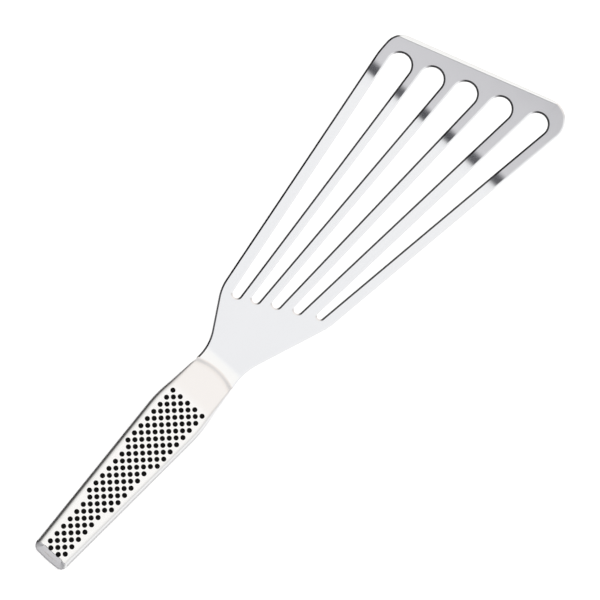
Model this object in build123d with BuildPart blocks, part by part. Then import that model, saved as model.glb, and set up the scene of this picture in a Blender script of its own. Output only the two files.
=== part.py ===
from build123d import *
from math import atan, cos, floor, radians, sin, tan
import os

os.makedirs("parts", exist_ok=True)

# A slotted fish spatula, lying on the flat underside of its blade.
# +X runs toward the tip and +Z is up. The origin is on the underside of the blade's plain root,
# on the centre line, a little in front of the neck. The handle rises behind it, toward -X.
# The short side of the blade is on +Y and the long side is on -Y. Lengths are in millimetres.

# Blade sheet
sheet = 1.5
edge_break = 0.45

# Fan of bars, which spreads at even angles from one point on the centre line, far behind the neck.
# The bars grow wider toward the long side: each slot leaves its own width of bar beside it,
# given here slot by slot from the long side to the short side.
ray_angle = 3.25
fan_centre_x = -129.5
bar_widths = (6.7, 5.5, 4.95, 4.85, 4.5)
short_rim_width = 6.1
long_rim_width = 5.5

# Tip edge, and the slanted line at which the slots start. Each is given by where it crosses
# the centre line and by its slant from square. The slots end on a line parallel to the tip edge.
tip_x = 178.4
tip_slant = 17.5
short_tip_corner_radius = 16.0
long_tip_corner_radius = 10.5
tip_band_width = 8.7
slot_start_x = 28.4
slot_start_slant = 27.7

# Flare from the neck to the shoulders, on the short side and on the long side
short_flare_x = -5.95
long_flare_x = -4.1
short_flare_radius = 23.0
long_flare_radius = 30.0
short_shoulder_x = 18.6
long_shoulder_x = 38.5
short_shoulder_radius = 23.0
long_shoulder_radius = 32.0

# Crank at the neck and upward bend at the front
neck_x = -8.0
crank_angle = 16.0
crank_radius = 17.85
front_bend_x = 142.0
front_bend_angle = 15.0
front_bend_radius = 54.0

# Ground edge on top of the tip, wider at the short corner than at the long one
grind_angle = 24.0
grind_short_width = 2.2
grind_long_width = 1.3

# Handle, drawn in its own plane, which is the middle plane of the tang
handle_length = 126.0
handle_thickness = 8.5
butt_width = 18.5
butt_bow = 0.7
butt_corner_radius = 4.0
belly_width = 29.0
belly_from_neck = 32.7
belly_radius = 60.0
neck_width = 21.4
shell_wall = 1.2
shell_edge_radius = 3.0

# Thinning of the handle toward the neck, and the bowed mouth where the shells end
thinning_from_neck = 24.4
thinning_blend_radius = 30.0
mouth_from_neck = 7.4
mouth_radius = 24.0

# Tang inside the handle
tang_width = 14.0
tang_length = 34.0
tang_corner_radius = 3.0

# Loose fill, kept this far from the neck
fill_from_neck = 14.0

# Ground weld bead in front of the mouth, hollow by this much halfway down
weld_run = 4.2
weld_toe = 0.12
weld_hollow = 0.22

# Dimples, in rows square to the handle with every other row shifted by half a pitch.
# The diameter is across the corners of the many-sided punch mark.
dot_pitch = 4.6
dot_diameter = 2.2
dot_depth = 0.6
dot_sides = 6
first_row_from_neck = 26.5
last_row_from_butt = 5.2
dot_field_front_half_width = 11.5
dot_field_back_half_width = 4.9

# Cutting bodies run past what they cut by this much
overrun = 5.0

# Planes of the handle: its middle plane, and the upright plane along its centre line
handle_plane = Plane(
    origin=(neck_x, 0, sheet / 2),
    x_dir=(cos(radians(crank_angle)), 0, -sin(radians(crank_angle))),
    z_dir=(sin(radians(crank_angle)), 0, cos(radians(crank_angle))),
)
handle_side_plane = Plane(
    origin=handle_plane.origin, x_dir=handle_plane.x_dir, z_dir=(0, -1, 0)
)
handle_along = Axis(handle_plane.origin, handle_plane.x_dir)
handle_up = Axis(handle_plane.origin, handle_plane.z_dir)
half_thickness = handle_thickness / 2
sheet_middle = sheet / 2

# Where the line through the slots' far ends crosses the centre line
slot_tip_x = tip_x - tip_band_width / cos(radians(tip_slant))

# Centre of the bowed mouth, and the slope that thins the handle down to one wall over the tang there
mouth_centre_from_neck = -mouth_from_neck - mouth_radius
thinning_slope = (half_thickness - shell_wall - sheet_middle) / (thinning_from_neck - mouth_from_neck)


def fan_half_width(side, x):
    """Distance from the centre line to the fan's outer edge, side being 1 on +Y and -1 on -Y."""
    edge_angle = radians(ray_angle * len(bar_widths) / 2)
    if side > 0:
        rim_beyond_edge_ray = short_rim_width - bar_widths[-1] / 2
    else:
        rim_beyond_edge_ray = long_rim_width - bar_widths[0] / 2
    return tan(edge_angle) * (x - fan_centre_x) + rim_beyond_edge_ray / cos(edge_angle)


def tip_corner(side):
    """Sharp corner between the tip edge and the fan's outer edge, on either side."""
    flank = tan(radians(ray_angle * len(bar_widths) / 2))
    slant = side * tan(radians(tip_slant))
    x = (tip_x - slant * fan_half_width(side, 0)) / (1 + slant * flank)
    return (x, side * fan_half_width(side, x))


def handle_half_width_near_neck(from_neck):
    """Half-width of the straight taper from the belly to the neck, and on past the neck."""
    return neck_width / 2 + (belly_width - neck_width) / 2 * from_neck / belly_from_neck


def ray_reach(ray, line_x, line_slant):
    """Distance from the fan's centre at which a ray meets a slanted line."""
    angle = radians(ray * ray_angle)
    return (line_x - fan_centre_x) / (cos(angle) + tan(radians(line_slant)) * sin(angle))


def slot_end(ray, bar_width, reach, side):
    """Centre and radius of a slot's round end, side being 1 at the tip and -1 at the neck.

    The round touches the bars on both sides, and its outermost point lies at the reach.
    """
    angle = radians(ray * ray_angle)
    spread = sin(radians(ray_angle / 2))
    distance = (reach + side * bar_width / 2) / (1 + side * spread)
    centre = (fan_centre_x + distance * cos(angle), distance * sin(angle))
    return centre, distance * spread - bar_width / 2


# Blade: the plan outline stood up as a prism, then cut to the bent side profile of the sheet
blade_back_x = neck_x - mouth_from_neck - overrun
profile_back_x = blade_back_x - overrun
profile_back_rise = (neck_x - profile_back_x) * tan(radians(crank_angle))
front_run = tip_corner(-1)[0] + overrun - front_bend_x
front_rise = front_run * tan(radians(front_bend_angle))


def neck_outline_y(x):
    """The handle's taper, carried on along the blade as seen from above."""
    return handle_half_width_near_neck((neck_x - x) / cos(radians(crank_angle)))


# Plane of the ground edge: it leaves the top of the sheet along a line that runs behind the tip edge
tip_run = tip_x - front_bend_x
front_top_plane = Plane(
    origin=(tip_x, 0, sheet_middle + tip_run * tan(radians(front_bend_angle))),
    x_dir=(cos(radians(front_bend_angle)), 0, sin(radians(front_bend_angle))),
    z_dir=(-sin(radians(front_bend_angle)), 0, cos(radians(front_bend_angle))),
).offset(sheet_middle)


def grind_start(side, width):
    """Point on top of the sheet, square behind a tip corner by the width of the ground edge."""
    corner_x, corner_y = tip_corner(side)
    slant = atan(tan(radians(tip_slant)) / cos(radians(front_bend_angle)))
    along = (corner_x - tip_x) / cos(radians(front_bend_angle)) - width * cos(slant)
    return front_top_plane.from_local_coords((along, corner_y - width * sin(slant)))


grind_line = grind_start(1, grind_short_width) - grind_start(-1, grind_long_width)
grind_outward = grind_line.normalized().cross(front_top_plane.z_dir)
grind_plane = Plane(
    origin=grind_start(-1, grind_long_width),
    x_dir=grind_line,
    z_dir=front_top_plane.z_dir * cos(radians(grind_angle)) + grind_outward * sin(radians(grind_angle)),
)

with BuildPart() as blade:
    with BuildSketch(Plane.XY.offset(-overrun)):
        with BuildLine():
            FilletPolyline(
                (blade_back_x, neck_outline_y(blade_back_x)),
                (short_flare_x, neck_outline_y(short_flare_x)),
                (short_shoulder_x, fan_half_width(1, short_shoulder_x)),
                tip_corner(1),
                tip_corner(-1),
                (long_shoulder_x, -fan_half_width(-1, long_shoulder_x)),
                (long_flare_x, -neck_outline_y(long_flare_x)),
                (blade_back_x, -neck_outline_y(blade_back_x)),
                radius=[
                    0,
                    short_flare_radius,
                    short_shoulder_radius,
                    short_tip_corner_radius,
                    long_tip_corner_radius,
                    long_shoulder_radius,
                    long_flare_radius,
                    0,
                ],
                close=True,
            )
        make_face()
    extrude(amount=front_rise + 2 * overrun)

    with BuildSketch(Plane.XZ):
        with BuildLine():
            FilletPolyline(
                (profile_back_x, sheet_middle + profile_back_rise),
                (neck_x, sheet_middle),
                (front_bend_x, sheet_middle),
                (front_bend_x + front_run, sheet_middle + front_rise),
                radius=[crank_radius, front_bend_radius],
            )
        trace(line_width=sheet)
    extrude(amount=2 * fan_half_width(1, tip_x), both=True, mode=Mode.INTERSECT)

    # Slots: the space between two circles that touch the bars on both sides
    for slot, bar_width in enumerate(bar_widths):
        ray = slot - (len(bar_widths) - 1) / 2
        start = ray_reach(ray, slot_start_x, slot_start_slant)
        stop = ray_reach(ray, slot_tip_x, tip_slant)
        with BuildSketch(Plane.XY.offset(-overrun)):
            for reach, side in ((start, -1), (stop, 1)):
                centre, radius = slot_end(ray, bar_width, reach, side)
                with Locations(centre):
                    Circle(radius)
            make_hull()
        extrude(amount=front_rise + 2 * overrun, mode=Mode.SUBTRACT)

    # Broken edges all round the outline and the slots, above and below
    walls = faces().filter_by(lambda face: abs(face.normal_at().Z) < cos(radians(crank_angle)) / 2)
    chamfer(walls.edges().filter_by(Axis.Z, reverse=True), length=edge_break)

    # Ground edge: everything above a steep plane near the tip edge goes
    split(bisect_by=grind_plane, keep=Keep.BOTTOM)

    # Bowed shoulder that seats against the mouth of the shells
    with BuildSketch(handle_plane):
        with Locations((mouth_centre_from_neck, 0)):
            Circle(mouth_radius)
    extrude(amount=handle_thickness, both=True, mode=Mode.SUBTRACT)

    # Tang
    with BuildSketch(handle_plane):
        with Locations((-mouth_from_neck - tang_length / 2, 0)):
            Rectangle(tang_length, tang_width)
        fillet(vertices().group_by(Axis.X)[0], radius=tang_corner_radius)
    extrude(amount=sheet_middle, both=True)
blade.part.label = "blade"
export_step(blade.part, "parts/blade.step")


# Handle shells: one pressed half above the middle plane, and the same half turned over below it
def half_handle(inset):
    """Upper half of the handle as a solid that runs on to the neck.

    With no inset it is the outside. Drawn in by a wall it is the inside, with plain bevels
    where the outside is rounded.
    """
    height = half_thickness - inset
    belly = (-belly_from_neck, belly_width / 2 - inset)
    neck = (0, neck_width / 2 - inset)
    butt_x = inset - handle_length
    butt = (butt_x + butt_bow, butt_width / 2 - inset)
    flat_end = (-thinning_from_neck - overrun, height)
    thin_end = (overrun, height - thinning_slope * (thinning_from_neck + overrun))
    with BuildPart() as half:
        with BuildSketch(handle_plane):
            with BuildLine():
                Polyline(
                    butt,
                    belly,
                    neck,
                    (neck[0], -neck[1]),
                    (belly[0], -belly[1]),
                    (butt[0], -butt[1]),
                )
                ThreePointArc((butt[0], -butt[1]), (butt_x, 0), butt)
            make_face()
            corners = vertices().sort_by(Axis.X)
            if inset:
                chamfer(corners[:2], length=butt_corner_radius - inset)
            else:
                fillet(corners[:2], radius=butt_corner_radius)
                fillet(corners[2:4], radius=belly_radius)
        extrude(amount=height)
        rim = faces().sort_by(handle_up)[-1].edges().sort_by(handle_along)[:-1]
        if inset:
            chamfer(rim, length=(shell_edge_radius - inset) / 2)
        else:
            fillet(rim, radius=shell_edge_radius)

        # Thinning toward the neck, on a soft bend
        with BuildSketch(handle_side_plane):
            with BuildLine():
                FilletPolyline(
                    flat_end,
                    (-thinning_from_neck, height),
                    thin_end,
                    radius=thinning_blend_radius,
                )
                Polyline(
                    thin_end,
                    (thin_end[0], height + overrun),
                    (flat_end[0], height + overrun),
                    flat_end,
                )
            make_face()
        extrude(amount=belly_width, both=True, mode=Mode.SUBTRACT)
    return half.part


handle_outside = half_handle(0)
handle_inside = half_handle(shell_wall)


def dot_places():
    """Centres of the dimples in the handle's plane, row by row from the neck to the butt."""
    places = []
    row_count = 1 + round((handle_length - first_row_from_neck - last_row_from_butt) / (dot_pitch / 2))
    field_change = dot_field_back_half_width - dot_field_front_half_width
    for row in range(row_count):
        from_neck = first_row_from_neck + row * dot_pitch / 2
        field = dot_field_front_half_width + field_change * row / (row_count - 1)
        shift = row % 2 / 2
        reach = floor(field / dot_pitch - shift)
        for column in range(-reach - round(2 * shift), reach + 1):
            places.append((-from_neck, (column + shift) * dot_pitch))
    return places


# Enamel in the dimples, which are punched with a pointed tool of several flats
with BuildPart() as dimple:
    with BuildSketch() as dimple_mouth:
        RegularPolygon(radius=dot_diameter / 2, side_count=dot_sides)
    loft([dimple_mouth.face(), Vertex(0, 0, -dot_depth)])

with BuildPart(handle_plane.offset(half_thickness)) as upper_dot_enamel:
    with Locations(*dot_places()):
        add(dimple.part)
upper_dot_enamel.part.label = "upper_dot_enamel"
export_step(upper_dot_enamel.part, "parts/upper_dot_enamel.step")

with BuildPart() as lower_dot_enamel:
    mirror(upper_dot_enamel.part, about=handle_plane)
lower_dot_enamel.part.label = "lower_dot_enamel"
export_step(lower_dot_enamel.part, "parts/lower_dot_enamel.step")

with BuildPart() as handle_upper_shell:
    add(handle_outside)
    add(handle_inside, mode=Mode.SUBTRACT)

    # Bowed mouth
    with BuildSketch(handle_plane):
        with Locations((mouth_centre_from_neck, 0)):
            Rectangle(
                mouth_radius + mouth_from_neck + overrun,
                2 * mouth_radius,
                align=(Align.MIN, Align.CENTER),
            )
            Circle(mouth_radius, mode=Mode.SUBTRACT)
    extrude(amount=handle_thickness, mode=Mode.SUBTRACT)
    add(upper_dot_enamel.part, mode=Mode.SUBTRACT)
handle_upper_shell.part.label = "handle_upper_shell"
export_step(handle_upper_shell.part, "parts/handle_upper_shell.step")

with BuildPart() as handle_lower_shell:
    mirror(handle_upper_shell.part, about=handle_plane)
handle_lower_shell.part.label = "handle_lower_shell"
export_step(handle_lower_shell.part, "parts/handle_lower_shell.step")

# Weld bead: a ring in front of the mouth, hollow on top, flush with the outside of the shells
bead_top = (-mouth_from_neck, sheet_middle + shell_wall)
bead_toe = (-mouth_from_neck + weld_run, sheet_middle + weld_toe)
bead_waist = ((bead_top[0] + bead_toe[0]) / 2, (bead_top[1] + bead_toe[1]) / 2 - weld_hollow)
with BuildPart() as neck_weld:
    with BuildSketch(handle_side_plane):
        with BuildLine():
            Polyline(
                bead_top,
                bead_waist,
                bead_toe,
                (bead_toe[0], sheet_middle),
                (bead_top[0], sheet_middle),
                close=True,
            )
        make_face()
    revolve(axis=Axis(handle_plane.from_local_coords((mouth_centre_from_neck, 0, 0)), handle_plane.z_dir))
    split(bisect_by=Plane(handle_plane.origin, z_dir=handle_plane.x_dir).offset(mouth_centre_from_neck))
    add(handle_outside, mode=Mode.INTERSECT)
    mirror(about=handle_plane)
neck_weld.part.label = "neck_weld"
export_step(neck_weld.part, "parts/neck_weld.step")

# Loose balance fill: the inside of both shells behind the mouth, round the tang
with BuildPart() as balance_sand:
    add(handle_inside)
    mirror(about=handle_plane)
    split(
        bisect_by=Plane(handle_plane.origin, z_dir=handle_plane.x_dir).offset(-fill_from_neck),
        keep=Keep.BOTTOM,
    )
    add(blade.part, mode=Mode.SUBTRACT)
balance_sand.part.label = "balance_sand"
export_step(balance_sand.part, "parts/balance_sand.step")
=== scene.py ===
from math import asin, atan2, ceil, cos, pi, radians, sin, sqrt, tan

import bmesh
import bpy
from mathutils import Matrix, Vector


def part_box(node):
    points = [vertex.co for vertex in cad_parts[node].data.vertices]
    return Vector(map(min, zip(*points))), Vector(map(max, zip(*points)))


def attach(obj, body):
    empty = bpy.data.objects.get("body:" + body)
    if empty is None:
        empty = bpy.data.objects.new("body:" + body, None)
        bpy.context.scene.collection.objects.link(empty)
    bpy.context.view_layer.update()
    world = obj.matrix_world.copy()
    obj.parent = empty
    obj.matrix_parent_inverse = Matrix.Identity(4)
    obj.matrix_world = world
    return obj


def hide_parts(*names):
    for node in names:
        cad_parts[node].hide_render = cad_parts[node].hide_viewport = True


# A slotted steel fish spatula on a white table, in metres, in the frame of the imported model:
# +X runs toward the tip of the blade, +Z is up and +Y is the blade's short side.

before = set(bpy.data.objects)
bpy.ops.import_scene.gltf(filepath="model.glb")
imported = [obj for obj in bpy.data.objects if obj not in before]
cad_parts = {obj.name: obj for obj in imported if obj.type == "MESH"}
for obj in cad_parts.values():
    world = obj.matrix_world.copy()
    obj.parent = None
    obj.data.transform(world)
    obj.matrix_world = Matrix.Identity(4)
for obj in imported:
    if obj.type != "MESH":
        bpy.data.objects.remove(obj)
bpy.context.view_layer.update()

# Camera: straight above the blade, as the photograph was taken
image_pixels = 600
sensor_width = 36.0
focal_pixels = 3068.0
camera_height = 1.456
camera_range = 10.0
aim = Vector((0.0392, -0.0070, 0.0))
axis_turn = radians(41.87)
image_up = Vector((cos(axis_turn), sin(axis_turn), 0.0))
image_right = Vector((sin(axis_turn), -cos(axis_turn), 0.0))

# Studio sky. The first list gives the brightness over the tilt from straight up, in degrees,
# toward the tip of the blade (plus) or toward the butt of the handle (minus).
sky_along_blade = (
    (-90.0, (0.04, 0.04, 0.04)),
    (-72.0, (0.06, 0.06, 0.06)),
    (-58.0, (0.20, 0.20, 0.21)),
    (-46.0, (0.44, 0.44, 0.45)),
    (-37.0, (0.72, 0.71, 0.73)),
    (-28.0, (0.80, 0.79, 0.81)),
    (-24.0, (0.76, 0.75, 0.77)),
    (-19.8, (0.10, 0.10, 0.11)),
    (-11.0, (0.05, 0.05, 0.06)),
    (-8.8, (0.86, 0.86, 0.87)),
    (-6.6, (1.01, 1.01, 1.02)),
    (3.0, (1.01, 1.01, 1.02)),
    (8.0, (1.08, 1.08, 1.07)),
    (16.0, (1.12, 1.11, 1.08)),
    (36.0, (1.13, 1.11, 1.08)),
    (43.0, (1.07, 1.03, 0.99)),
    (52.0, (1.06, 1.00, 0.96)),
    (66.0, (1.00, 0.96, 0.92)),
    (80.0, (0.82, 0.80, 0.79)),
    (90.0, (0.62, 0.62, 0.62)),
)
# The second list scales it over the share of a direction that points to the blade's short side
# (plus) or its long side (minus).
sky_across_blade = (
    (-1.00, 0.60),
    (-0.95, 0.95),
    (-0.90, 1.30),
    (-0.76, 1.30),
    (-0.66, 0.84),
    (-0.48, 0.86),
    (-0.20, 1.00),
    (0.20, 1.00),
    (0.41, 0.90),
    (0.60, 0.80),
    (0.70, 0.54),
    (0.78, 0.20),
    (0.84, 0.06),
    (1.00, 0.06),
)
# Toward the long side the sky fades into one even grey. The third list gives how much of it there
# is, over the same share of the direction.
side_sky_colour = (0.80, 0.80, 0.80)
side_sky_shares = (
    (-1.00, 1.0),
    (-0.74, 1.0),
    (-0.50, 0.0),
    (1.00, 0.0),
)
# Whole span of the tilt in degrees, and of the share
half_turn_degrees = 180.0
share_span = 2.0

# Table: a plain white sheet, a little lit by itself where it is seen or mirrored
floor_half = 3.0
floor_colour = (0.80, 0.80, 0.80)
floor_glow = 0.62

# Finish of the steel, the enamel and the sand. A scale is the number of the noise's cells in a
# metre, and a grain gives it along X, Y and Z.
blade_colour = (0.85, 0.855, 0.865)
blade_roughness = 0.14
blade_grain = (150.0, 3500.0, 900.0)
shell_colour = (0.86, 0.86, 0.865)
shell_roughness = 0.20
shell_grain = (300.0, 2500.0, 900.0)
weld_colour = (0.855, 0.85, 0.85)
weld_roughness = 0.24
weld_grain = (900.0, 900.0, 900.0)
grain_detail = 3.0
grain_tint_spread = 0.015
grain_bump_strength = 0.05
grain_bump_depth = 0.00002
cloud_scale = 45.0
cloud_detail = 2.0
cloud_reach = (0.3, 0.7)
roughness_spread = 0.1
enamel_specular = 0.08
enamel_cloud_scale = 900.0
enamel_cloud_detail = 3.0
enamel_dark = (0.001, 0.001, 0.001)
enamel_light = (0.003, 0.003, 0.003)
enamel_cloud_reach = (0.0, 1.0)
enamel_roughness = (0.35, 0.6)
sand_roughness = 0.95
sand_grain_scale = 2200.0
sand_dark = (0.35, 0.27, 0.17)
sand_light = (0.72, 0.64, 0.50)

# Blade sheet and its fan of bars. The bar widths run from the long side to the short side.
sheet = 0.0015
edge_break = 0.00045
upper_edge_break = 0.0009
edge_break_angle = radians(31.0)
ray_angle = radians(3.25)
fan_centre_x = -0.1295
bar_widths = (0.0067, 0.0055, 0.00495, 0.00485, 0.0045)
short_rim_width = 0.0061
long_rim_width = 0.0055
tip_x = 0.1784
tip_slant = radians(17.5)
short_tip_corner_radius = 0.0095
short_tip_easing_radius = 0.040
long_tip_corner_radius = 0.0105
tip_band_width = 0.0087
slot_start_x = 0.0284
slot_start_slant = radians(27.7)
short_flare_x = -0.00595
long_flare_x = -0.0041
short_flare_radius = 0.023
long_flare_radius = 0.030
short_shoulder_x = 0.0186
long_shoulder_x = 0.0385
short_shoulder_radius = 0.023
long_shoulder_radius = 0.032

# Bends of the sheet and the ground edge of the tip
neck_x = -0.008
crank_angle = radians(16.0)
crank_radius = 0.01785
front_bend_x = 0.142
front_bend_angle = radians(15.0)
front_bend_radius = 0.054
grind_angle = radians(24.0)
grind_short_width = 0.0022
grind_long_width = 0.0013
grind_softening = 0.00015

# Handle, along its own middle plane
handle_length = 0.1259
handle_thickness = 0.0085
butt_width = 0.0185
butt_bow = 0.0007
butt_corner_radius = 0.004
butt_bevel_width = 0.0038
butt_bevel_share = 0.85
butt_extra_depth_share = 0.5
butt_rim_extra_share = 5.0
belly_width = 0.029
belly_from_neck = 0.0327
belly_radius = 0.060
neck_width = 0.0214
shell_wall = 0.0012
thinning_from_neck = 0.0244
thinning_blend_radius = 0.030
mouth_from_neck = 0.0074
mouth_radius = 0.024
tang_width = 0.014
tang_length = 0.034
tang_corner_radius = 0.003
weld_run = 0.0042
weld_toe = 0.00003
weld_lateness = 1.4
weld_toe_shoulder_share = 0.2

# Shoulder all round the handle's face: a large round, then a small one into the upright side
shoulder_radius = 0.0043
shoulder_turn = radians(48.0)
side_radius = 0.00035
inner_shoulder_share = 0.5
shoulder_steps = 9
side_steps = 5

# Enamel dots: discs that cover the mouths of the dimples, a little domed
dot_radius = 0.00124
dot_foot_depth = 0.000155
dot_rim_height = 0.00002
dot_shoulder_height = 0.000049
dot_shoulder_share = 0.8
dot_dome_height = 0.00007
dot_dome_share = 0.4
dot_sides = 24
dimple_mouth_depth = 0.00031

# Fineness of the modelled rounds, and how sharp an edge has to be to stay crisp
arc_step = radians(4.0)
crisp_edge = radians(10.0)
blade_crisp_edge = radians(2.5)
merge_distance = 0.0000001
solid_merge_distance = 0.000001
face_columns = 8
weld_rows = 12
taper_steps = 12
bow_steps = 4
bend_steps = 16
mouth_slide_rounds = 3
weld_edge_rounds = 4

# What follows from the sizes
fan_edge_angle = ray_angle * len(bar_widths) / 2
slot_tip_x = tip_x - tip_band_width / cos(tip_slant)
handle_origin = Vector((neck_x, 0, sheet / 2))
handle_along = Vector((cos(crank_angle), 0, -sin(crank_angle)))
handle_up = Vector((sin(crank_angle), 0, cos(crank_angle)))
mouth_centre = -mouth_from_neck - mouth_radius
dot_section = (
    (dot_radius, -dot_foot_depth),
    (dot_radius, dot_rim_height),
    (dot_radius * dot_shoulder_share, dot_shoulder_height),
    (dot_radius * dot_dome_share, dot_dome_height),
)
thinning_slope = (handle_thickness / 2 - shell_wall - sheet / 2) / (thinning_from_neck - mouth_from_neck)


def new_material(name):
    """An empty node material, with its tree and its output node."""
    material = bpy.data.materials.new(name)
    material.use_nodes = True
    tree = material.node_tree
    tree.nodes.clear()
    return material, tree, tree.nodes.new("ShaderNodeOutputMaterial")


def add_camera():
    """Camera over the blade, turned so that the spatula lies aslant in the frame."""
    data = bpy.data.cameras.new("camera")
    data.sensor_width = sensor_width
    data.lens = focal_pixels / image_pixels * sensor_width
    data.clip_end = camera_range
    camera = bpy.data.objects.new("camera", data)
    turn = Matrix((image_right, image_up, image_right.cross(image_up))).transposed().to_4x4()
    camera.matrix_world = Matrix.Translation(aim + Vector((0, 0, camera_height))) @ turn
    bpy.context.scene.collection.objects.link(camera)
    bpy.context.scene.camera = camera


def math_node(tree, operation, first, second=None, clamp=False):
    """A Math node; each input is a socket or a plain number."""
    node = tree.nodes.new("ShaderNodeMath")
    node.operation = operation
    node.use_clamp = clamp
    for index, value in enumerate((first, second)):
        if value is None:
            continue
        if isinstance(value, (int, float)):
            node.inputs[index].default_value = value
        else:
            tree.links.new(value, node.inputs[index])
    return node.outputs[0]


def ramp_node(tree, factor, span, stops):
    """A ColorRamp over a span round zero, with stops of a value and a colour or a grey level."""
    ramp = tree.nodes.new("ShaderNodeValToRGB")
    ramp.color_ramp.interpolation = "LINEAR"
    elements = ramp.color_ramp.elements
    while len(elements) < len(stops):
        elements.new(1.0)
    for element, (value, colour) in zip(elements, stops):
        if isinstance(colour, float):
            colour = (colour, colour, colour)
        element.position = value / span + 0.5
        element.color = (*colour, 1.0)
    tree.links.new(factor, ramp.inputs[0])
    return ramp.outputs["Color"]


def add_world():
    """Sky of the studio, by direction: a list along the blade, one across it and the side's grey."""
    world = bpy.data.worlds.new("studio")
    world.use_nodes = True
    tree = world.node_tree
    tree.nodes.clear()
    output = tree.nodes.new("ShaderNodeOutputWorld")
    background = tree.nodes.new("ShaderNodeBackground")
    tree.links.new(background.outputs[0], output.inputs[0])

    direction = tree.nodes.new("ShaderNodeTexCoord").outputs["Generated"]
    split = tree.nodes.new("ShaderNodeSeparateXYZ")
    tree.links.new(direction, split.inputs[0])
    tilt = math_node(tree, "ARCTAN2", split.outputs["X"], split.outputs["Z"])
    along = math_node(tree, "ADD", math_node(tree, "DIVIDE", tilt, pi), 0.5, clamp=True)
    across = math_node(tree, "ADD", math_node(tree, "MULTIPLY", split.outputs["Y"], 0.5), 0.5)
    side_amount = ramp_node(tree, across, share_span, side_sky_shares)
    colour_along = ramp_node(tree, along, half_turn_degrees, sky_along_blade)
    scale_across = ramp_node(tree, across, share_span, sky_across_blade)
    sky = tree.nodes.new("ShaderNodeMixRGB")
    sky.inputs["Color2"].default_value = (*side_sky_colour, 1.0)
    tree.links.new(side_amount, sky.inputs["Fac"])
    tree.links.new(colour_along, sky.inputs["Color1"])
    tree.links.new(sky.outputs["Color"], background.inputs["Color"])
    tree.links.new(scale_across, background.inputs["Strength"])
    bpy.context.scene.world = world


def add_floor():
    """White table. Its glow lifts it to white where it is seen, and it keeps the object's shadow."""
    data = bpy.data.meshes.new("floor")
    corners = [(-floor_half, -floor_half, 0), (floor_half, -floor_half, 0)]
    corners += [(floor_half, floor_half, 0), (-floor_half, floor_half, 0)]
    data.from_pydata(corners, [], [(0, 1, 2, 3)])
    floor = bpy.data.objects.new("floor", data)
    bpy.context.scene.collection.objects.link(floor)
    material, tree, output = new_material("white_table")
    diffuse = tree.nodes.new("ShaderNodeBsdfDiffuse")
    diffuse.inputs["Color"].default_value = (*floor_colour, 1.0)
    glow = tree.nodes.new("ShaderNodeEmission")
    path = tree.nodes.new("ShaderNodeLightPath")
    seen = math_node(tree, "MAXIMUM", path.outputs["Is Camera Ray"], path.outputs["Is Glossy Ray"])
    seen = math_node(tree, "MAXIMUM", seen, path.outputs["Is Transmission Ray"])
    tree.links.new(math_node(tree, "MULTIPLY", seen, floor_glow), glow.inputs["Strength"])
    both = tree.nodes.new("ShaderNodeAddShader")
    tree.links.new(diffuse.outputs[0], both.inputs[0])
    tree.links.new(glow.outputs[0], both.inputs[1])
    tree.links.new(both.outputs[0], output.inputs[0])
    data.materials.append(material)


def shaded_material(name):
    """A material of one shader, with its tree, the shader and the place on the piece in metres."""
    material, tree, output = new_material(name)
    shader = tree.nodes.new("ShaderNodeBsdfPrincipled")
    tree.links.new(shader.outputs[0], output.inputs[0])
    place = tree.nodes.new("ShaderNodeTexCoord").outputs["Object"]
    return material, tree, shader, place


def noise_node(tree, place, scale, detail):
    """The value of a noise at a place."""
    noise = tree.nodes.new("ShaderNodeTexNoise")
    noise.inputs["Scale"].default_value = scale
    noise.inputs["Detail"].default_value = detail
    tree.links.new(place, noise.inputs["Vector"])
    return noise.outputs["Fac"]


def blend_roughness(tree, amount, reach, ends, shader):
    """The shader's roughness, from one end to the other as an amount runs over its reach."""
    rough = tree.nodes.new("ShaderNodeMapRange")
    rough.inputs["From Min"].default_value, rough.inputs["From Max"].default_value = reach
    rough.inputs["To Min"].default_value, rough.inputs["To Max"].default_value = ends
    tree.links.new(amount, rough.inputs["Value"])
    tree.links.new(rough.outputs["Result"], shader.inputs["Roughness"])


def blend_tint(tree, amount, dark, light, shader):
    """The shader's colour, between two colours by an amount."""
    tint = tree.nodes.new("ShaderNodeMapRange")
    tint.data_type = "FLOAT_VECTOR"
    amount_in, dark_in, light_in = tint.inputs[6], tint.inputs[9], tint.inputs[10]
    dark_in.default_value = dark
    light_in.default_value = light
    tree.links.new(amount, amount_in)
    tree.links.new(tint.outputs["Vector"], shader.inputs["Base Color"])


def satin_steel(name, colour, roughness, grain_scales):
    """Polished steel with a fine satin grain, drawn out the way its scale is low."""
    material, tree, shader, place = shaded_material(name)
    shader.inputs["Metallic"].default_value = 1.0
    stretch = tree.nodes.new("ShaderNodeMapping")
    stretch.inputs["Scale"].default_value = grain_scales
    tree.links.new(place, stretch.inputs["Vector"])
    grain = noise_node(tree, stretch.outputs[0], 1.0, grain_detail)
    darker = [channel * (1 - grain_tint_spread) for channel in colour]
    lighter = [channel * (1 + grain_tint_spread) for channel in colour]
    blend_tint(tree, grain, darker, lighter, shader)

    cloud = noise_node(tree, place, cloud_scale, cloud_detail)
    ends = (roughness * (1 - roughness_spread), roughness * (1 + roughness_spread))
    blend_roughness(tree, cloud, cloud_reach, ends, shader)

    bump = tree.nodes.new("ShaderNodeBump")
    bump.inputs["Strength"].default_value = grain_bump_strength
    bump.inputs["Distance"].default_value = grain_bump_depth
    tree.links.new(grain, bump.inputs["Height"])
    tree.links.new(bump.outputs[0], shader.inputs["Normal"])
    return material


def black_enamel():
    """Black enamel, uneven in gloss."""
    material, tree, shader, place = shaded_material("black_enamel")
    shader.inputs["Specular IOR Level"].default_value = enamel_specular
    cloud = noise_node(tree, place, enamel_cloud_scale, enamel_cloud_detail)
    blend_tint(tree, cloud, enamel_dark, enamel_light, shader)
    blend_roughness(tree, cloud, enamel_cloud_reach, enamel_roughness, shader)
    return material


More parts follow.
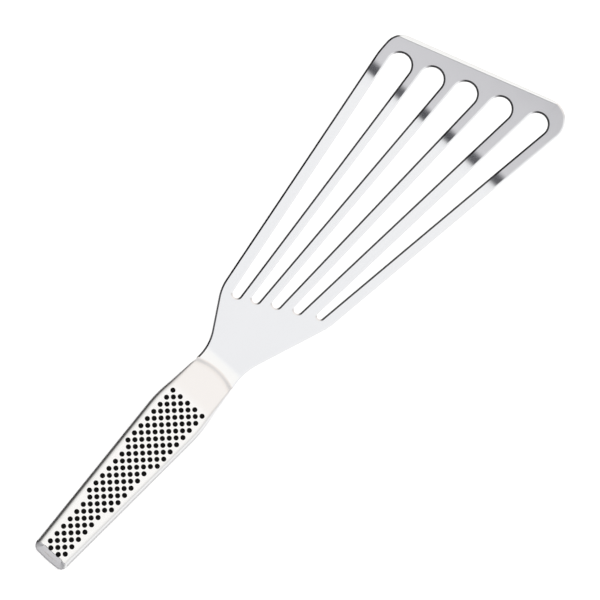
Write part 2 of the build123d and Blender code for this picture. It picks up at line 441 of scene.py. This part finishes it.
def dry_sand():
    """Sand in pale and brown grains."""
    material, tree, shader, place = shaded_material("dry_sand")
    shader.inputs["Roughness"].default_value = sand_roughness
    grains = tree.nodes.new("ShaderNodeTexVoronoi")
    grains.inputs["Scale"].default_value = sand_grain_scale
    tree.links.new(place, grains.inputs["Vector"])
    blend_tint(tree, grains.outputs["Distance"], sand_dark, sand_light, shader)
    return material


def add_piece(name, shape, material, node_name, sharpness=crisp_edge):
    """A smooth-shaded piece in the place of a node, from a finished bmesh."""
    bmesh.ops.recalc_face_normals(shape, faces=shape.faces)
    mesh = bpy.data.meshes.new(name)
    shape.to_mesh(mesh)
    shape.free()
    for face in mesh.polygons:
        face.use_smooth = True
    mesh.set_sharp_from_angle(angle=sharpness)
    mesh.materials.append(material)
    piece = bpy.data.objects.new(name, mesh)
    bpy.context.scene.collection.objects.link(piece)
    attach(piece, "root")
    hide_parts(node_name)


# Outline of the blade


def closed_path(corners):
    """Points along a closed outline run anticlockwise, each with the direction into the outline.

    A corner is (x, y, radius). One with no radius stays sharp.
    """
    path = []
    for index, (x, y, radius) in enumerate(corners):
        here = Vector((x, y))
        before = Vector(corners[index - 1][:2])
        after = Vector(corners[(index + 1) % len(corners)][:2])
        way_in = (here - before).normalized()
        way_out = (after - here).normalized()
        inward_in = Vector((-way_in.y, way_in.x))
        inward_out = Vector((-way_out.y, way_out.x))
        if not radius:
            path.append((here, (inward_in + inward_out) / (1 + inward_in.dot(inward_out))))
            continue
        turn = atan2(way_in.x * way_out.y - way_in.y * way_out.x, way_in.dot(way_out))
        side = 1 if turn > 0 else -1
        centre = here - way_in * radius * tan(abs(turn) / 2) + inward_in * radius * side
        steps = ceil(abs(turn) / arc_step)
        for step in range(steps + 1):
            angle = turn * step / steps
            inward = Vector(
                (
                    inward_in.x * cos(angle) - inward_in.y * sin(angle),
                    inward_in.x * sin(angle) + inward_in.y * cos(angle),
                )
            )
            path.append((centre - inward * radius * side, inward))
    return path


def slot_path(ray, bar_width):
    """Points along a slot run clockwise, each with the direction into the steel round it."""
    angle = ray * ray_angle
    spread = sin(ray_angle / 2)
    path = []
    for line_x, slant, side in ((slot_tip_x, tip_slant, 1), (slot_start_x, slot_start_slant, -1)):
        reach = (line_x - fan_centre_x) / (cos(angle) + tan(slant) * sin(angle))
        distance = (reach + side * bar_width / 2) / (1 + side * spread)
        centre = Vector((fan_centre_x + distance * cos(angle), distance * sin(angle)))
        radius = distance * spread - bar_width / 2
        half_sweep = pi / 2 + side * ray_angle / 2
        middle = angle if side > 0 else angle + pi
        steps = ceil(2 * half_sweep / arc_step)
        for step in range(steps + 1):
            way = middle + half_sweep * (1 - 2 * step / steps)
            outward = Vector((cos(way), sin(way)))
            path.append((centre + outward * radius, outward))
    return path


def fan_half_width(side, x):
    """Distance from the centre line to the fan's outer edge, side being 1 on +Y and -1 on -Y."""
    if side > 0:
        rim_beyond_edge_ray = short_rim_width - bar_widths[-1] / 2
    else:
        rim_beyond_edge_ray = long_rim_width - bar_widths[0] / 2
    return tan(fan_edge_angle) * (x - fan_centre_x) + rim_beyond_edge_ray / cos(fan_edge_angle)


def tip_corner(side):
    """Sharp corner between the tip edge and the fan's outer edge, on either side."""
    slant = side * tan(tip_slant)
    x = (tip_x - slant * fan_half_width(side, 0)) / (1 + slant * tan(fan_edge_angle))
    return x, side * fan_half_width(side, x)


def neck_half_width(from_neck):
    """Half-width of the straight taper from the belly to the neck, and on past the neck."""
    return neck_width / 2 + (belly_width - neck_width) / 2 * from_neck / belly_from_neck


def mouth_place(y):
    """Place of the bowed mouth along the handle, at a distance from its centre line."""
    return mouth_centre + sqrt(mouth_radius**2 - y**2)


def blade_outline():
    """Outline of the blade as seen from above, with the tang behind its bowed shoulder.

    Its short side ends along the side of the CAD blade's box, so that it stays inside.
    """
    shoulder_along = mouth_place(neck_half_width(-mouth_centre - mouth_radius))
    shoulder_half = neck_half_width(-shoulder_along)
    shoulder_x = neck_x + shoulder_along * cos(crank_angle)
    root_x = neck_x + mouth_place(tang_width / 2) * cos(crank_angle)
    back_x = neck_x - (mouth_from_neck + tang_length) * cos(crank_angle)
    top_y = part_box("blade")[1][1]
    eased_x = (top_y - fan_half_width(1, 0)) / tan(fan_edge_angle)

    def at_neck(x):
        """Half-width of the neck's taper at x."""
        return neck_half_width((neck_x - x) / cos(crank_angle))

    return closed_path(
        (
            (back_x, -tang_width / 2, tang_corner_radius),
            (root_x, -tang_width / 2, 0),
            (shoulder_x, -shoulder_half, 0),
            (long_flare_x, -at_neck(long_flare_x), long_flare_radius),
            (long_shoulder_x, -fan_half_width(-1, long_shoulder_x), long_shoulder_radius),
            (*tip_corner(-1), long_tip_corner_radius),
            (tip_x - tan(tip_slant) * top_y, top_y, short_tip_corner_radius),
            (eased_x, top_y, short_tip_easing_radius),
            (short_shoulder_x, fan_half_width(1, short_shoulder_x), short_shoulder_radius),
            (short_flare_x, at_neck(short_flare_x), short_flare_radius),
            (shoulder_x, shoulder_half, 0),
            (root_x, tang_width / 2, 0),
            (back_x, tang_width / 2, tang_corner_radius),
        )
    )


def sheet_height(x):
    """Height of the sheet's middle at x, and how much thicker the slanted sheet is upright."""
    crank_start = neck_x - crank_radius * tan(crank_angle / 2) * cos(crank_angle)
    crank_end = neck_x + crank_radius * tan(crank_angle / 2)
    bend_start = front_bend_x - front_bend_radius * tan(front_bend_angle / 2)
    bend_end = front_bend_x + front_bend_radius * tan(front_bend_angle / 2) * cos(front_bend_angle)
    middle = sheet / 2
    if x < crank_start:
        return middle + (neck_x - x) * tan(crank_angle), 1 / cos(crank_angle)
    if x > bend_end:
        return middle + (x - front_bend_x) * tan(front_bend_angle), 1 / cos(front_bend_angle)
    for edge, radius, inside in (
        (crank_end, crank_radius, x < crank_end),
        (bend_start, front_bend_radius, x > bend_start),
    ):
        if inside:
            rise = sqrt(radius**2 - (x - edge) ** 2)
            return middle + radius - rise, radius / rise
    return middle, 1


def bend_stations():
    """Where the flat sheet is cut across, so that it can follow its two bends."""
    stations = []
    for bend_x, radius, angle, back_share, front_share in (
        (neck_x, crank_radius, crank_angle, cos(crank_angle), 1),
        (front_bend_x, front_bend_radius, front_bend_angle, 1, cos(front_bend_angle)),
    ):
        reach = radius * tan(angle / 2)
        start = bend_x - reach * back_share
        end = bend_x + reach * front_share
        guard = (end - start) / bend_steps / 2
        stations.append(start - guard)
        stations += [start + (end - start) * step / bend_steps for step in range(bend_steps + 1)]
        stations.append(end + guard)
    return stations


def cut_across(shape, place, normal):
    """New edges where a plane cuts the shape, with nothing taken away."""
    everything = shape.verts[:] + shape.edges[:] + shape.faces[:]
    bmesh.ops.bisect_plane(
        shape, geom=everything, dist=merge_distance, plane_co=place, plane_no=normal
    )


def blade_shape():
    """The sheet laid out flat with its broken edges, then cut across, ground and bent."""
    shape = bmesh.new()
    rings = (
        (upper_edge_break, sheet / 2),
        (0, sheet / 2 - upper_edge_break * tan(edge_break_angle)),
        (0, edge_break * tan(edge_break_angle) - sheet / 2),
        (edge_break, -sheet / 2),
    )
    caps = ([], [])
    middle_ray = (len(bar_widths) - 1) / 2
    paths = [blade_outline()]
    paths += [slot_path(slot - middle_ray, bar_width) for slot, bar_width in enumerate(bar_widths)]
    for path in paths:
        levels = []
        for inset, height in rings:
            places = [(*(point + inward * inset), height) for point, inward in path]
            levels.append([shape.verts.new(place) for place in places])
        for upper, lower in zip(levels, levels[1:]):
            for index in range(len(path)):
                after = (index + 1) % len(path)
                shape.faces.new((lower[index], lower[after], upper[after], upper[index]))
        for cap, level in zip(caps, (levels[0], levels[-1])):
            for index in range(len(path)):
                cap.append(shape.edges.get((level[index], level[(index + 1) % len(path)])))
    for cap in caps:
        bmesh.ops.triangle_fill(shape, use_beauty=True, use_dissolve=False, edges=cap)

    for station in bend_stations():
        cut_across(shape, (station, 0, 0), (1, 0, 0))

    # Ground edge: its starting line runs behind the tip edge, nearer to it at the long corner
    slant = atan2(tan(tip_slant), 1 / cos(front_bend_angle))
    starts = []
    for side, width in ((1, grind_short_width), (-1, grind_long_width)):
        corner_x, corner_y = tip_corner(side)
        back = width * cos(slant) * cos(front_bend_angle)
        starts.append(Vector((corner_x - back, corner_y - width * sin(slant), 0)))
    line = (starts[0] - starts[1]).normalized()
    beyond = Vector((line.y, -line.x, 0))
    for offset in (-grind_softening, 0, grind_softening):
        cut_across(shape, starts[0] + beyond * offset, beyond)

    ground_slope = tan(front_bend_angle - grind_angle)
    fall = tan(front_bend_angle) - ground_slope
    for vertex in shape.verts:
        middle, stretch = sheet_height(vertex.co.x)
        past = (vertex.co - starts[0]).dot(beyond)
        height = middle + vertex.co.z * stretch
        if past >= grind_softening:
            line_place = vertex.co - beyond * past
            ground = sheet_height(line_place.x)[0] + sheet / 2 * stretch
            height = min(height, ground + past * ground_slope)
        elif past > -grind_softening:
            softened = fall * (past + grind_softening) ** 2 / grind_softening / 4
            height = min(height, middle + sheet / 2 * stretch - softened)
        vertex.co.z = height
    return shape


# Handle, weld and dots


def on_handle(along, across, up):
    """Point given along, across and above the middle plane of the handle."""
    return handle_origin + handle_along * along + Vector((0, across, 0)) + handle_up * up


def shoulder_profile():
    """Shoulder of the handle in section, from its upright side to its face, as inset and depth."""
    turn_depth = shoulder_radius * (1 - cos(shoulder_turn))
    turn_inset = side_radius * (1 - sin(shoulder_turn))
    profile = []
    for step in range(side_steps):
        angle = pi / 2 + (shoulder_turn - pi / 2) * step / side_steps
        inset = side_radius * (1 - sin(angle))
        profile.append((inset, turn_depth + side_radius * (cos(shoulder_turn) - cos(angle))))
    for step in range(shoulder_steps + 1):
        angle = shoulder_turn * (1 - step / shoulder_steps)
        inset = turn_inset + shoulder_radius * (sin(shoulder_turn) - sin(angle))
        profile.append((inset, shoulder_radius * (1 - cos(angle))))
    return profile


def shell_height(along):
    """Height of the shell's face over the middle plane, lower toward the neck on a soft bend."""
    top = handle_thickness / 2
    slope_angle = atan2(thinning_slope, 1)
    reach = thinning_blend_radius * tan(slope_angle / 2)
    before = -thinning_from_neck - reach
    after = -thinning_from_neck + reach * cos(slope_angle)
    if along < before:
        return top
    if along < after:
        return top - thinning_blend_radius + sqrt(thinning_blend_radius**2 - (along - before) ** 2)
    return top - thinning_slope * (along + thinning_from_neck)


def shell_share(along):
    """Height of the shell's face as a share of its full height."""
    return shell_height(along) * 2 / handle_thickness


def handle_side():
    """Side of the handle from the mouth to the middle of the butt: points and inward directions.

    The first list is the long side as far as the butt's corner, the second goes round the butt.
    """
    half_butt = butt_width / 2
    bow_radius = (half_butt**2 + butt_bow**2) / (2 * butt_bow)
    neck = (0, neck_width / 2, 0)
    belly = (-belly_from_neck, belly_width / 2, belly_radius)
    butt = (butt_bow - handle_length, half_butt, butt_corner_radius)
    bow_middle = (-butt_bow - handle_length, 0, 0)
    neck_middle = (0, 0, 0)
    long_side = closed_path((neck, belly, (*butt[:2], 0), bow_middle, neck_middle))[1:-3]
    round_butt = closed_path((neck, (*belly[:2], 0), butt, bow_middle, neck_middle))[2:-2]

    start = mouth_place(neck_width / 2)
    end, taper_inward = long_side[0][0].x, long_side[0][1]
    taper = []
    for step in range(taper_steps):
        along = start + (end - start) * step / taper_steps
        taper.append((Vector((along, neck_half_width(-along))), taper_inward))

    corner_end = round_butt[-1][0].y
    for step in range(1, bow_steps + 1):
        across = corner_end * (1 - step / bow_steps)
        inward = Vector((sqrt(1 - (across / bow_radius) ** 2), -across / bow_radius))
        round_butt.append((Vector((across**2 / (2 * bow_radius) - handle_length, across)), inward))
    return taper + long_side, round_butt


def shell_skin(shape, inner, facing):
    """One skin of a shell, outer or inner. Gives its edge along the seam and its edge at the mouth."""
    long_side, round_butt = handle_side()
    samples = long_side + round_butt
    profile = shoulder_profile()
    wall = shell_wall if inner else 0
    inner_share = inner_shoulder_share if inner else 1
    rim_inset, rim_depth = profile[side_steps]

    def place(along, across, depth, at_seam=False):
        """New corner of the skin. One at the seam lies on the handle's middle plane."""
        height = shell_height(along)
        up = (height - depth * shell_share(along)) * (height - wall) / height
        return shape.verts.new(on_handle(along, across, 0 if at_seam else up * facing))

    def butt_share(index):
        """How far a sample faces the butt: 0 along the sides, 1 in the middle of the butt."""
        return max(0.0, samples[index][1].x) if index >= len(long_side) else 0.0

    def inset_point(index, inset, depth):
        """Sample moved into the outline. The first one slides along the bowed mouth."""
        point, inward = samples[index]
        rim = min(inset, rim_inset)
        bevel = butt_bevel_width * (1 - depth / rim_depth) if depth < rim_depth else 0
        share = butt_share(index)
        rounded = (inset - rim) * (1 - butt_bevel_share * share)
        inset = rim * (1 + butt_rim_extra_share * share) + rounded + bevel * butt_bevel_share * share
        inset = wall + inset * shell_share(point.x) * inner_share
        moved = point + inward * inset
        if index == 0:
            for _ in range(mouth_slide_rounds):
                along = mouth_place(moved.y)
                moved = Vector((along, neck_half_width(-along) - inset))
        return moved

    rings = []
    for inset, depth, at_seam in [(0, rim_depth, True)] + [(*step, False) for step in profile]:
        half = []
        for index in range(len(samples)):
            extra = 1 + butt_extra_depth_share * butt_share(index)
            half.append((inset_point(index, inset, depth), depth * extra))
        ring = [place(point.x, point.y, deep, at_seam) for point, deep in half]
        ring += [place(point.x, -point.y, deep, at_seam) for point, deep in half[-2::-1]]
        rings.append(ring)
    for lower, upper in zip(rings, rings[1:]):
        for index in range(len(lower) - 1):
            shape.faces.new((lower[index], lower[index + 1], upper[index + 1], upper[index]))

    rows = []
    for index in range(len(long_side) + 1):
        point = inset_point(index, *profile[-1])
        row = [rings[-1][index]]
        for column in range(1, face_columns):
            across = point.y * (1 - 2 * column / face_columns)
            along = mouth_place(across) if index == 0 else point.x
            row.append(place(along, across, 0))
        row.append(rings[-1][len(rings[-1]) - 1 - index])
        rows.append(row)
    for near, far in zip(rows, rows[1:]):
        for column in range(face_columns):
            shape.faces.new((near[column], far[column], far[column + 1], near[column + 1]))
    butt_end = rings[-1][len(long_side) : len(rings[-1]) - len(long_side)]
    shape.faces.new(butt_end + rows[-1][1:-1][::-1])

    mouth = [ring[0] for ring in rings[:-1]] + rows[0] + [ring[-1] for ring in reversed(rings[:-1])]
    return rings[0], mouth


def shell_shape(facing):
    """Half of the handle, pressed from sheet; facing is 1 for the upper half and -1 for the lower."""
    shape = bmesh.new()
    outer_edges = shell_skin(shape, False, facing)
    inner_edges = shell_skin(shape, True, facing)
    for outer, inner in zip(outer_edges, inner_edges):
        for index in range(len(outer) - 1):
            shape.faces.new((outer[index], outer[index + 1], inner[index + 1], inner[index]))
    return shape


def weld_section(share):
    """Upper and lower line of the bead, at a share of the way from the mouth to its toe."""
    radius = mouth_radius + weld_run * share
    late_share = share**weld_lateness
    ease = late_share**2 * (3 - 2 * late_share)
    edge = neck_width / 2
    for _ in range(weld_edge_rounds):
        edge = neck_half_width(-mouth_centre - sqrt(radius**2 - edge**2))

    mouth_scale = shell_share(mouth_centre + mouth_radius * cos(asin(edge / radius)))
    scale = mouth_scale + (weld_toe_shoulder_share - mouth_scale) * ease
    section = [(edge - inset * scale, depth * scale) for inset, depth in shoulder_profile()]
    mirrored = [(-across, depth) for across, depth in reversed(section)]
    inner_edge = section[-1][0]
    for column in range(1, face_columns):
        section.append((inner_edge * (1 - 2 * column / face_columns), 0))
    section += mirrored

    upper = []
    lower = []
    for across, depth in section:
        turn = asin(across / radius)
        along = mouth_centre + radius * cos(turn)
        top = shell_height(mouth_centre + mouth_radius * cos(turn))
        fall = thinning_slope * cos(turn) * weld_run
        up = top + (sheet / 2 + weld_toe - top) * ease - fall * share * (1 - share) ** 2
        up = max(0.0, up - depth)
        upper.append(on_handle(along, across, up))
        lower.append(on_handle(along, across, -up))
    return upper, lower


def weld_shape():
    """Bead that runs round the blade in front of the mouth, dressed smooth into both."""
    shape = bmesh.new()
    loops = []
    for row in range(weld_rows + 1):
        upper, lower = weld_section(row / weld_rows)
        top = [shape.verts.new(place) for place in upper]
        bottom = [shape.verts.new(place) for place in lower]
        loops.append((top, bottom))
    for (near_top, near_bottom), (far_top, far_bottom) in zip(loops, loops[1:]):
        near = near_top + near_bottom[::-1]
        far = far_top + far_bottom[::-1]
        for index in range(len(near)):
            after = (index + 1) % len(near)
            shape.faces.new((near[index], near[after], far[after], far[index]))
    for top, bottom in (loops[0], loops[-1]):
        for index in range(len(top) - 1):
            shape.faces.new((top[index], top[index + 1], bottom[index + 1], bottom[index]))
    return shape


def islands(mesh):
    """The separate solids of a mesh, each as a list of its corner points."""
    shape = bmesh.new()
    shape.from_mesh(mesh)
    bmesh.ops.remove_doubles(shape, verts=shape.verts, dist=solid_merge_distance)
    seen = set()
    found = []
    for start in shape.verts:
        if start in seen:
            continue
        group = [start]
        seen.add(start)
        for vertex in group:
            for edge in vertex.link_edges:
                other = edge.other_vert(vertex)
                if other not in seen:
                    seen.add(other)
                    group.append(other)
        found.append([vertex.co.copy() for vertex in group])
    shape.free()
    return found


def dots_shape(node_name, outward):
    """Round domed discs on the mouths of a node's many-sided enamel solids."""
    shape = bmesh.new()
    side_one = outward.orthogonal().normalized()
    side_two = outward.cross(side_one)
    for points in islands(bpy.data.objects[node_name].data):
        top = max(point.dot(outward) for point in points)
        mouth = [point for point in points if top - point.dot(outward) < dimple_mouth_depth]
        centre = sum(mouth, Vector()) / len(mouth)
        rings = []
        for ring_radius, height in dot_section:
            ring = []
            for step in range(dot_sides):
                angle = 2 * pi * step / dot_sides
                around = side_one * cos(angle) + side_two * sin(angle)
                ring.append(shape.verts.new(centre + around * ring_radius + outward * height))
            rings.append(ring)
        for lower, upper in zip(rings, rings[1:]):
            for index in range(dot_sides):
                after = (index + 1) % dot_sides
                shape.faces.new((lower[index], lower[after], upper[after], upper[index]))
        shape.faces.new(rings[-1])
        shape.faces.new(rings[0][::-1])
    return shape


add_camera()
add_world()
add_floor()

blade_steel = satin_steel("blade_steel", blade_colour, blade_roughness, blade_grain)
shell_steel = satin_steel("shell_steel", shell_colour, shell_roughness, shell_grain)
weld_steel = satin_steel("weld_steel", weld_colour, weld_roughness, weld_grain)
enamel = black_enamel()
sand = dry_sand()
upper_dots = dots_shape("upper_dot_enamel", handle_up)
lower_dots = dots_shape("lower_dot_enamel", -handle_up)

add_piece("blade_sheet", blade_shape(), blade_steel, "blade", blade_crisp_edge)
add_piece("upper_shell", shell_shape(1), shell_steel, "handle_upper_shell")
add_piece("lower_shell", shell_shape(-1), shell_steel, "handle_lower_shell")
add_piece("weld_bead", weld_shape(), weld_steel, "neck_weld")
add_piece("upper_dots", upper_dots, enamel, "upper_dot_enamel")
add_piece("lower_dots", lower_dots, enamel, "lower_dot_enamel")
for holder in bpy.data.objects["balance_sand"].material_slots:
    holder.material = sand

bpy.context.scene.view_settings.view_transform = "Standard"
